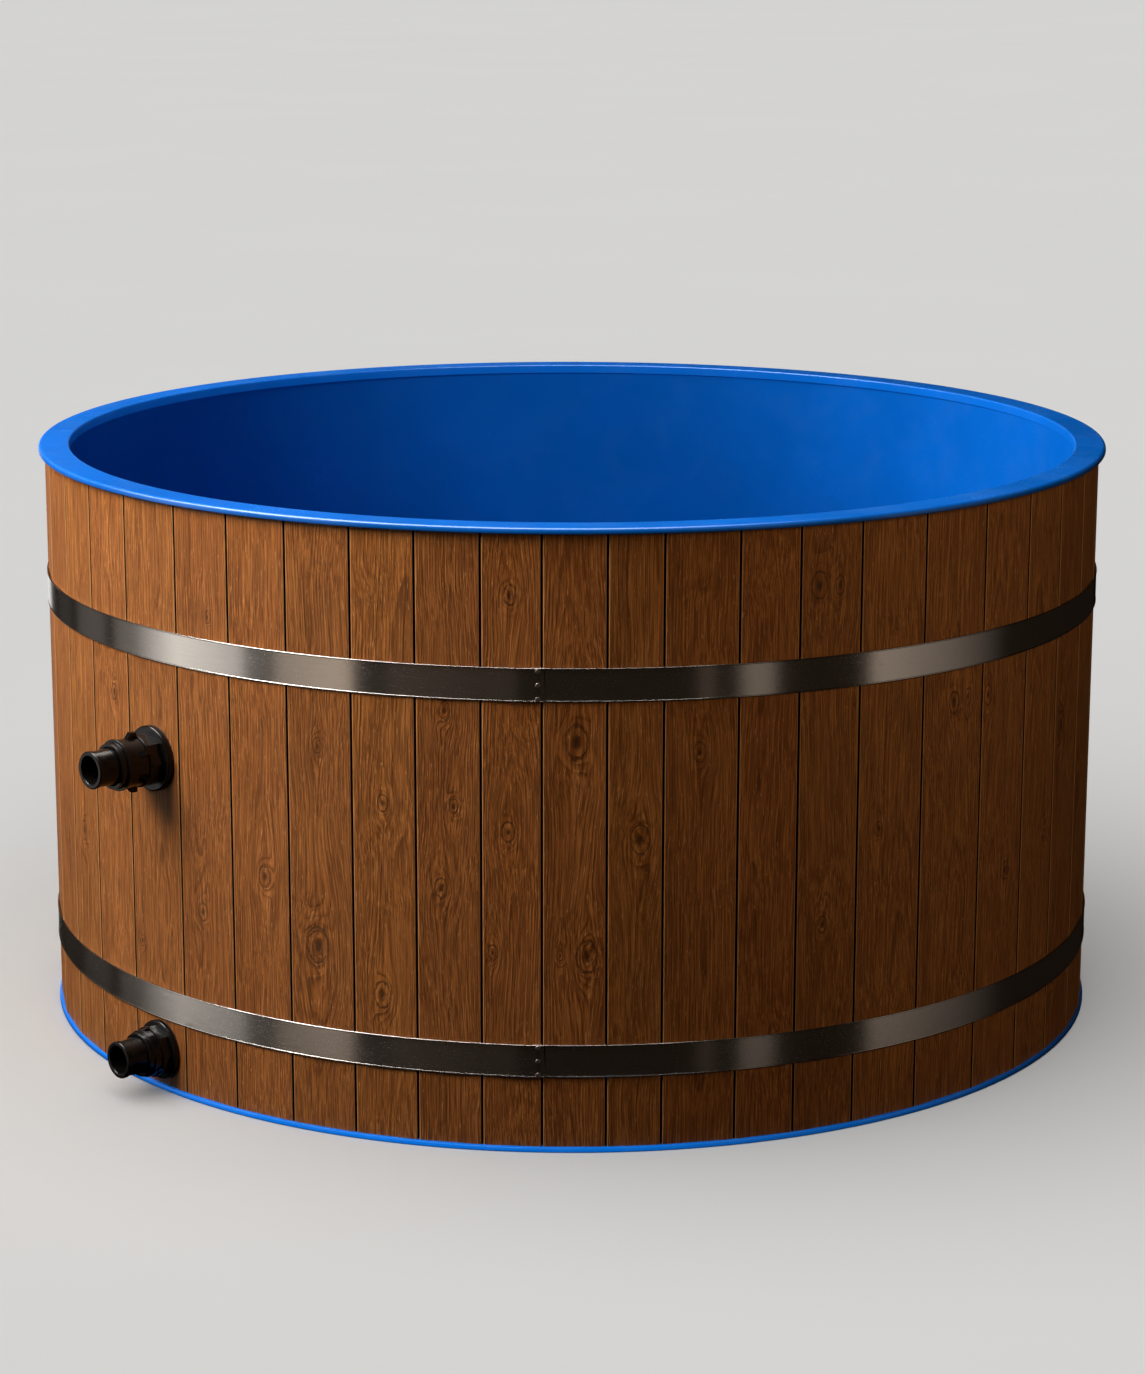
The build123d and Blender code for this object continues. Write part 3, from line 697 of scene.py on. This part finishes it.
def board_outline(start, end):
    """A board's outline seen from above, as (across, depth) from the middle of its face."""
    half = math.radians((end - start) / 2)
    face = CORNER_RADIUS * math.cos(half)

    def half_width(depth, gap=BOARD_SIDE_GAP):
        return (face - depth) * math.tan(half) - gap / math.cos(half)

    middle = BOARD_THICKNESS / 2
    tongue, groove = TONGUE_THICKNESS / 2, TONGUE_THICKNESS / 2 + GROOVE_CLEARANCE
    deep = TONGUE_LENGTH + GROOVE_CLEARANCE
    edge = half_width(0, JOINT_OPENING)
    arris = [(edge - BOARD_ARRIS - FLAT_MARGIN, 0.0)]
    for step in range(ARRIS_STEPS + 1):
        turn = math.radians(90 * step / ARRIS_STEPS)
        arris.append((edge - BOARD_ARRIS * (1 - math.sin(turn)), BOARD_ARRIS * (1 - math.cos(turn))))
    return [(-across, depth) for across, depth in arris] + [
        (-half_width(middle - groove, JOINT_OPENING), middle - groove),
        (-half_width(middle - groove) + deep, middle - groove),
        (-half_width(middle + groove) + deep, middle + groove),
        (-half_width(middle + groove), middle + groove),
        (-half_width(BOARD_THICKNESS), BOARD_THICKNESS),
        (half_width(BOARD_THICKNESS), BOARD_THICKNESS),
        (half_width(middle + tongue), middle + tongue),
        (half_width(middle + tongue) + TONGUE_LENGTH, middle + tongue),
        (half_width(middle - tongue) + TONGUE_LENGTH, middle - tongue),
        (half_width(middle - tongue, JOINT_OPENING), middle - tongue),
    ] + arris[::-1]


def board_mesh(name, numbers):
    """One mesh of the boards with these numbers."""
    shape = bmesh.new()
    for number in numbers:
        start, end = EDGES[number - 1], EDGES[number]
        azimuth = (start + end) / 2
        face = CORNER_RADIUS * math.cos(math.radians((end - start) / 2))
        low, high = (
            [
                shape.verts.new(spot(azimuth, face - depth, height) + along(azimuth) * across)
                for across, depth in board_outline(start, end)
            ]
            for height in (BOARD_BOTTOM, BOARD_TOP)
        )
        for index in range(len(low)):
            after = (index + 1) % len(low)
            shape.faces.new((low[index], low[after], high[after], high[index]))
        shape.faces.new(low)
        shape.faces.new(high)
    bmesh.ops.recalc_face_normals(shape, faces=shape.faces)
    mesh = bpy.data.meshes.new(name)
    shape.to_mesh(mesh)
    shape.free()
    return mesh


def mark_boards(mesh, numbers, knots, seeds):
    """Gives each point of the boards its place on its own board, the board's seed and its knots."""
    middles = {number: (EDGES[number - 1] + EDGES[number]) / 2 for number in numbers}
    marks = {"board_place": [], "board_seed": []}
    for knot in range(1, KNOTS_PER_BOARD + 1):
        marks[f"knot_{knot}"] = []
    for vert in mesh.vertices:
        azimuth = math.degrees(math.atan2(vert.co.x, -vert.co.y))
        number = min(numbers, key=lambda one: abs((azimuth - middles[one] + 180) % 360 - 180))
        face = CORNER_RADIUS * math.cos(math.radians((EDGES[number] - EDGES[number - 1]) / 2))
        across = vert.co.dot(along(middles[number]))
        depth = face - vert.co.dot(spot(middles[number], 1))
        marks["board_place"] += (across, vert.co.z, depth)
        marks["board_seed"] += seeds[number]
        for knot in range(1, KNOTS_PER_BOARD + 1):
            marks[f"knot_{knot}"] += knots[number][knot - 1]
    for name, values in marks.items():
        mesh.attributes.new(name, "FLOAT_VECTOR", "POINT").data.foreach_set("vector", values)


def deal_knots(count):
    """Each board's knots: the front boards' own, and invented ones on the boards out of sight."""
    dealer = random.Random(7)
    knots = {number: [] for number in range(1, count + 1)}
    for number, across, height, size in FRONT_KNOTS:
        knots[number].append((across * MM, height * MM, size * MM))
    for number in range(len(BOARD_COVER_WIDTHS) + 1, count + 1):
        for _ in range(dealer.choice((0, 1, 1, 2, 2, 3))):
            across = dealer.uniform(-28, 28) * MM
            knots[number].append((across, dealer.uniform(0.05, 0.80), dealer.uniform(6, 14) * MM))
    for number in knots:
        knots[number] = (knots[number] + [(0.0, 0.0, 0.0)] * KNOTS_PER_BOARD)[:KNOTS_PER_BOARD]
    return knots


def make_boards():
    """One piece for each CAD node: the first third's boards alone, the others in pairs."""
    pieces = []
    count = len(EDGES) - 1
    dealer = random.Random(21)
    seeds = {number: tuple(dealer.random() for _ in range(3)) for number in range(1, count + 1)}
    knots = deal_knots(count)
    third = len(BOARD_COVER_WIDTHS)
    for number in range(1, third + 1):
        pair = (number + third, number + 2 * third)
        for numbers, node in (((number,), f"stave_{number:02}"), (pair, f"staves_{pair[0]}_{pair[1]}")):
            mesh = board_mesh(f"{node}_board", numbers)
            if FITTING_BOARD in numbers:
                mesh = pierced(mesh)
            mark_boards(mesh, numbers, knots, seeds)
            pieces.append(finish_piece(f"{node}_board", mesh, board_wood, [node], sharp=20))
    return pieces


boards = make_boards()


# Vessel


def make_vessel():
    """The floor plate, the liner wall, the foam round it and the rim."""
    outer = LINER_INNER_RADIUS + LINER_THICKNESS
    plate_radius = CORNER_RADIUS + FLOOR_PLATE_OVERHANG
    plate = [
        (0, 0), (plate_radius, 0, FLOOR_PLATE_ROUND),
        (plate_radius, FLOOR_PLATE_THICKNESS, FLOOR_PLATE_ROUND), (0, FLOOR_PLATE_THICKNESS),
    ]
    floor_mesh = turned_mesh("blue_floor_plate", plate)
    tub_floor = finish_piece("blue_floor_plate", floor_mesh, blue_plastic, ["floor_plate"])
    liner = [
        (LINER_INNER_RADIUS, FLOOR_PLATE_THICKNESS), (outer, FLOOR_PLATE_THICKNESS),
        (outer, BOARD_TOP), (LINER_INNER_RADIUS, BOARD_TOP),
    ]
    wall_mesh = pierced(turned_mesh("blue_liner_wall", liner))
    tub_wall = finish_piece("blue_liner_wall", wall_mesh, blue_plastic, ["liner_wall"])
    foam = [
        (outer, BOARD_BOTTOM), (outer + FOAM_THICKNESS, BOARD_BOTTOM),
        (outer + FOAM_THICKNESS, BOARD_TOP), (outer, BOARD_TOP),
    ]
    finish_piece("foam_wrap", pierced(turned_mesh("foam_wrap", foam)), cell_foam, ["foam_jacket"])
    lip_radius = CORNER_RADIUS + RIM_OVERHANG
    collar_inner = LINER_INNER_RADIUS - RIM_COLLAR_STEP
    collar_outer = LINER_INNER_RADIUS - RIM_SOCKET_CLEARANCE
    collar_bottom = TUB_HEIGHT - RIM_COLLAR_DEPTH
    rim = [
        (collar_inner, collar_bottom, RIM_COLLAR_FOOT_ROUND), (collar_outer, collar_bottom),
        (collar_outer, BOARD_TOP), (lip_radius, BOARD_TOP, RIM_UNDER_ROUND),
        (lip_radius, TUB_HEIGHT, RIM_TOP_ROUND), (lip_radius - RIM_TOP_ROUND - FLAT_MARGIN, TUB_HEIGHT),
        (collar_inner + RIM_COLLAR_ROUND + FLAT_MARGIN, TUB_HEIGHT),
        (collar_inner, TUB_HEIGHT, RIM_COLLAR_ROUND),
        (collar_inner, TUB_HEIGHT - RIM_COLLAR_ROUND - FLAT_MARGIN),
    ]
    rim_mesh = turned_mesh("blue_rim", rim, RIM_SEGMENTS)
    tub_rim = finish_piece("blue_rim", rim_mesh, blue_plastic, ["rim"])
    return tub_floor, tub_wall, tub_rim


floor_piece, wall_piece, rim_piece = make_vessel()


# Hoops


def hoop_profile(bead):
    """The strip's cross-section as (outward, up), with a small bead along both edges."""
    reach = HOOP_WIDTH / 2 - HOOP_BEAD_RADIUS
    points = []
    centre = HOOP_THICKNESS / 2 + HOOP_BEAD_SHIFT * bead
    steps = 8
    start, end = (math.radians(angle) for angle in HOOP_BEAD_ARC)
    for side in (1, -1):
        arc = []
        for step in range(steps + 1):
            turn = start + (end - start) * step / steps
            out = centre + HOOP_BEAD_RADIUS * math.cos(turn)
            up = reach + HOOP_BEAD_RADIUS * math.sin(turn)
            flat_out = max(0.0, min(HOOP_THICKNESS, out))
            arc.append((flat_out + (out - flat_out) * bead, side * up))
        points += arc if side == 1 else arc[::-1]
    return points


def make_hoop(node, height):
    """A strip bent round the boards, its outer end jogged over its inner end under the rivets."""
    degree = math.degrees(1 / CORNER_RADIUS)
    lap = HOOP_LAP_LENGTH / 2 * degree
    under_end = HOOP_LAP_AZIMUTH - lap
    over_end = HOOP_LAP_AZIMUTH + lap + 360
    jog_end = under_end - 2 * HOOP_THICKNESS * degree + 360
    jog_start = jog_end - HOOP_JOG_LENGTH * degree
    lifted = HOOP_THICKNESS + HOOP_LAP_CLEARANCE
    stations = []
    azimuth = under_end
    while azimuth < jog_start:
        flat = min(1.0, max(0.0, (azimuth - under_end - 2 * lap) / (0.5 * lap)))
        stations.append((azimuth, 0.0, flat))
        azimuth += HOOP_LAP_STEP if azimuth < under_end + 4 * lap else HOOP_STEP
    jog_steps = 12
    for step in range(jog_steps + 1):
        part = step / jog_steps
        eased = part * part * (3 - 2 * part)
        stations.append((jog_start + (jog_end - jog_start) * part, lifted * eased, 1.0))
    lap_steps = 10
    for step in range(1, lap_steps + 1):
        stations.append((jog_end + (over_end - jog_end) * step / lap_steps, lifted, 1.0))
    shape = bmesh.new()
    rows = []
    for azimuth, lift, bead in stations:
        rows.append([
            shape.verts.new(spot(azimuth, CORNER_RADIUS + lift + out, height + up))
            for out, up in hoop_profile(bead)
        ])
    for row, following in zip(rows, rows[1:]):
        for index in range(len(row)):
            after = (index + 1) % len(row)
            shape.faces.new((row[index], row[after], following[after], following[index]))
    shape.faces.new(rows[0])
    shape.faces.new(rows[-1])
    bmesh.ops.recalc_face_normals(shape, faces=shape.faces)
    mesh = bpy.data.meshes.new(f"{node}_strip")
    shape.to_mesh(mesh)
    shape.free()
    finish_piece(f"{node}_strip", mesh, hoop_steel, [node], sharp=30)


for hoop_node, hoop_height in HOOP_HEIGHTS.items():
    make_hoop(hoop_node, hoop_height)


# Fittings and rivets keep their CAD shapes

CAD_FINISHES = {
    "hoop_rivets": rivet_steel,
    "gasket": seal_rubber,
    "o_ring": seal_rubber,
    "fitting_body": black_plastic,
    "back_nut": black_plastic,
    "union_nut": black_plastic,
    "hose_tail": black_plastic,
    "grille": black_plastic,
}
for node_name, node_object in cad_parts.items():
    for ending, material in CAD_FINISHES.items():
        if node_name.endswith(ending):
            node_object.data.materials.clear()
            node_object.data.materials.append(material)


# Floor, light and camera


def make_floor():
    """A plain pale floor. It takes its own soft light, and throws none back on the tub."""
    material, tree, shader = new_material("pale_floor", Roughness=0.9, Specular_IOR_Level=0.0)
    place = object_place(tree)
    skin = use_group(tree, moulded_skin, Place=place, Flow_Size=0.6, Grit_Size=300.0)
    colour = blend(tree, remap(tree, skin["Flow"], 0.2, 0.8), (0.765, 0.76, 0.745), (0.78, 0.775, 0.76))
    tree.links.new(colour, shader["Base Color"])
    shape = bmesh.new()
    bmesh.ops.create_circle(shape, cap_ends=True, segments=96, radius=60)
    mesh = bpy.data.meshes.new("studio_floor")
    shape.to_mesh(mesh)
    shape.free()
    mesh.materials.append(material)
    floor = bpy.data.objects.new("studio_floor", mesh)
    bpy.context.scene.collection.objects.link(floor)
    floor.visible_diffuse = False
    floor.visible_glossy = False
    return floor


def set_reach(lamp, objects, how):
    """EXCLUDE makes a lamp or card leave the objects out. INCLUDE makes it light only them."""
    reach = bpy.data.collections.new(f"{lamp.name}_reach")
    for linked in objects:
        reach.objects.link(linked)
    for member in reach.collection_objects:
        member.light_linking.link_state = how
    lamp.light_linking.receiver_collection = reach


def place_light(name, light, place, aim, objects, how):
    """Hangs a light that neither the camera nor reflections see. The last two go to set_reach."""
    holder = bpy.data.objects.new(name, light)
    holder.location = place
    holder.rotation_euler = (Vector(aim) - Vector(place)).to_track_quat("-Z", "Y").to_euler()
    holder.visible_camera = False
    holder.visible_glossy = False
    bpy.context.scene.collection.objects.link(holder)
    set_reach(holder, objects, how)


def softbox(name, place, aim, size, power, colour, objects, how="EXCLUDE"):
    """A square box of light that leaves the objects out, or with INCLUDE lights only them."""
    light = bpy.data.lights.new(name, "AREA")
    light.shape = "SQUARE"
    light.size = size
    light.energy = power
    light.color = colour
    place_light(name, light, place, aim, objects, how)


def make_lights(floor):
    """Lamps for the tub, one for the floor alone, and a plain pale background."""
    amber, warm, plain = (1.0, 0.86, 0.68), (1.0, 0.99, 0.96), (1.0, 1.0, 1.0)
    middle = (0, 0, 0.4)
    softbox("left_box", spot(-64, 2.5, 2.2), middle, 1.5, 88, warm, [floor])
    softbox("far_left_box", (-2.4, 1.6, 2.2), (0.3, 0.2, 0.6), 1.6, 176, plain, [floor, *boards])
    rim_front = (-0.1, -0.8, TUB_HEIGHT)
    softbox("rim_box", (-0.1, -0.8, 2.5), rim_front, 1.0, 38, plain, [rim_piece], "INCLUDE")
    softbox("plate_box", spot(-20, 3.0, 1.0), (0, 0, 0), 1.5, 90, plain, [floor_piece], "INCLUDE")
    softbox("right_front_box", spot(33, 2.6, 1.6), middle, 1.2, 9, amber, [floor])
    softbox("back_right_box", spot(150, 3.6, 0.9), middle, 1.4, 24, plain, [floor])
    softbox("back_left_box", spot(-150, 3.6, 0.9), middle, 1.4, 20, plain, [floor])
    sky = bpy.data.lights.new("floor_light", "SUN")
    sky.energy = 2.9
    sky.angle = math.radians(100)
    place_light("floor_light", sky, (-1.5, -1.5, 5.0), (0, 0, 0), [floor], "INCLUDE")
    world = bpy.data.worlds.new("studio")
    bpy.context.scene.world = world
    world.use_nodes = True
    background = world.node_tree.nodes["Background"]
    background.inputs["Color"].default_value = (0.66, 0.655, 0.64, 1)
    background.inputs["Strength"].default_value = 1.0
    world.cycles_visibility.diffuse = False
    world.cycles_visibility.glossy = False
    world.cycles_visibility.transmission = False


def make_reflector_glow(name, sampled):
    """The white of the reflector cards: their glow is read from the mesh, and fades along a card."""
    material, tree, shader = new_material(name, Roughness=1.0, Emission_Strength=1.0)
    glow = add(tree, "Attribute", attribute_name="glow").outputs["Vector"]
    tree.links.new(glow, shader["Emission Color"])
    shader["Base Color"].default_value = (0, 0, 0, 1)
    shader["Specular IOR Level"].default_value = 0
    material.cycles.emission_sampling = sampled
    return material


def stage_reflector(name, shape, material):
    """Only reflections on the tub show a reflector."""
    mesh = bpy.data.meshes.new(name)
    shape.to_mesh(mesh)
    shape.free()
    mesh.materials.append(material)
    card = bpy.data.objects.new(name, mesh)
    bpy.context.scene.collection.objects.link(card)
    card.visible_camera = False
    card.visible_diffuse = False
    card.visible_shadow = False
    card.visible_transmission = False
    return card


def standing_reflector(name, azimuths, glows, heights, warmth, material, distance=CARD_DISTANCE):
    """A bent card that stands round the tub between two azimuths, with a glow at each end."""
    shape = bmesh.new()
    layer = shape.verts.layers.float_vector.new("glow")
    steps = max(4, round(abs(azimuths[1] - azimuths[0]) / 4))
    columns = []
    for step in range(steps + 1):
        part = step / steps
        azimuth = azimuths[0] + (azimuths[1] - azimuths[0]) * part
        glow = glows[0] + (glows[1] - glows[0]) * part
        column = [shape.verts.new(spot(azimuth, distance, height)) for height in heights]
        for vert in column:
            vert[layer] = (
                glow, (1 - WARM_GREEN_LOSS * warmth) * glow, (1 - WARM_BLUE_LOSS * warmth) * glow
            )
        columns.append(column)
    for column, following in zip(columns, columns[1:]):
        shape.faces.new((column[0], column[1], following[1], following[0]))
    return stage_reflector(name, shape, material)


def overhead_reflector(name, corners, height, material):
    """A level card over the tub. Its corners are (x, y, glow)."""
    shape = bmesh.new()
    layer = shape.verts.layers.float_vector.new("glow")
    verts = []
    for x, y, glow in corners:
        vert = shape.verts.new((x, y, height))
        vert[layer] = (glow, glow, glow)
        verts.append(vert)
    shape.faces.new(verts)
    return stage_reflector(name, shape, material)


def make_reflectors():
    """Cards that stand round the tub and hang over it, for the steel and the plastic to mirror."""
    glow = make_reflector_glow("reflector_glow", "NONE")
    strong_glow = make_reflector_glow("strong_reflector_glow", "FRONT_BACK")
    front, back = (-0.9, 2.6), (-0.9, 0.95)
    room = ROOM_CARD_DISTANCE
    standing_reflector("room_card", (-180, 95), (0.019, 0.019), (-1.4, 2.6), 1.6, glow, room)
    standing_reflector("far_right_card", (95, 150), (0.016, 0.008), (-1.4, 1.2), 1.6, glow, room)
    standing_reflector("left_end_card", (-138, -128), (0.05, 0.05), front, 0.4, glow)
    standing_reflector("far_left_card", (-124, -110), (0.11, 0.14), front, 0.4, glow)
    standing_reflector("left_edge_card", (-106, -97), (0.20, 0.24), front, 0.4, glow)
    standing_reflector("left_fade_card", (-97, -86), (0.33, 1.20), front, 0.15, glow)
    standing_reflector("left_card", (-86, -67), (1.30, 0.70), front, 0.15, glow)
    standing_reflector("left_gap_card", (-67, -61), (0.16, 0.12), front, 0.4, glow)
    standing_reflector("left_front_card", (-60, -43), (0.40, 0.70), front, 0.9, glow)
    standing_reflector("front_card", (-36, -14), (0.070, 0.045), front, 1.4, glow)
    standing_reflector("front_thin_card", (23, 25.5), (0.12, 0.10), front, 1.2, glow)
    standing_reflector("right_front_card", (31, 37.5), (0.27, 0.27), front, 0.9, glow)
    standing_reflector("right_card", (58, 94), (0.42, 0.02), front, 0.9, glow)
    standing_reflector("back_card", (165, 212), (1.0, 1.0), back, 0.0, glow)
    overhead = ((-3.2, -1.2, 22), (1.0, -1.2, 4), (1.0, 0.9, 4), (-3.2, 0.9, 22))
    card = overhead_reflector("overhead_card", overhead, OVERHEAD_HEIGHT, strong_glow)
    set_reach(card, [floor_piece, wall_piece], "EXCLUDE")
    far_overhead = ((-5.5, 0.0, 7), (-3.2, 0.0, 7), (-3.2, 2.0, 7), (-5.5, 2.0, 7))
    far_card = overhead_reflector("far_overhead_card", far_overhead, OVERHEAD_HEIGHT, strong_glow)
    set_reach(far_card, [rim_piece], "INCLUDE")


def make_camera():
    """The camera that took the photograph, worked out from the tub's two rings."""
    pitch, yaw, roll = (math.radians(angle) for angle in (CAMERA_PITCH, CAMERA_YAW, CAMERA_ROLL))
    forward = Vector((
        math.sin(yaw) * math.cos(pitch), math.cos(yaw) * math.cos(pitch), -math.sin(pitch)
    ))
    level = Vector((math.cos(yaw), -math.sin(yaw), 0))
    upward = level.cross(forward)
    right = math.cos(roll) * level + math.sin(roll) * upward
    top = math.cos(roll) * upward - math.sin(roll) * level
    lens = bpy.data.cameras.new("camera")
    lens.sensor_fit = "VERTICAL"
    lens.sensor_height = SENSOR_HEIGHT
    lens.lens = FOCAL_PIXELS * SENSOR_HEIGHT / PHOTO_HEIGHT
    lens.clip_end = 200
    camera = bpy.data.objects.new("camera", lens)
    camera.matrix_world = Matrix((
        (right.x, top.x, -forward.x, CAMERA_PLACE[0]),
        (right.y, top.y, -forward.y, CAMERA_PLACE[1]),
        (right.z, top.z, -forward.z, CAMERA_PLACE[2]),
        (0, 0, 0, 1),
    ))
    bpy.context.scene.collection.objects.link(camera)
    bpy.context.scene.camera = camera


make_lights(make_floor())
make_reflectors()
make_camera()
bpy.context.scene.view_settings.view_transform = "Standard"
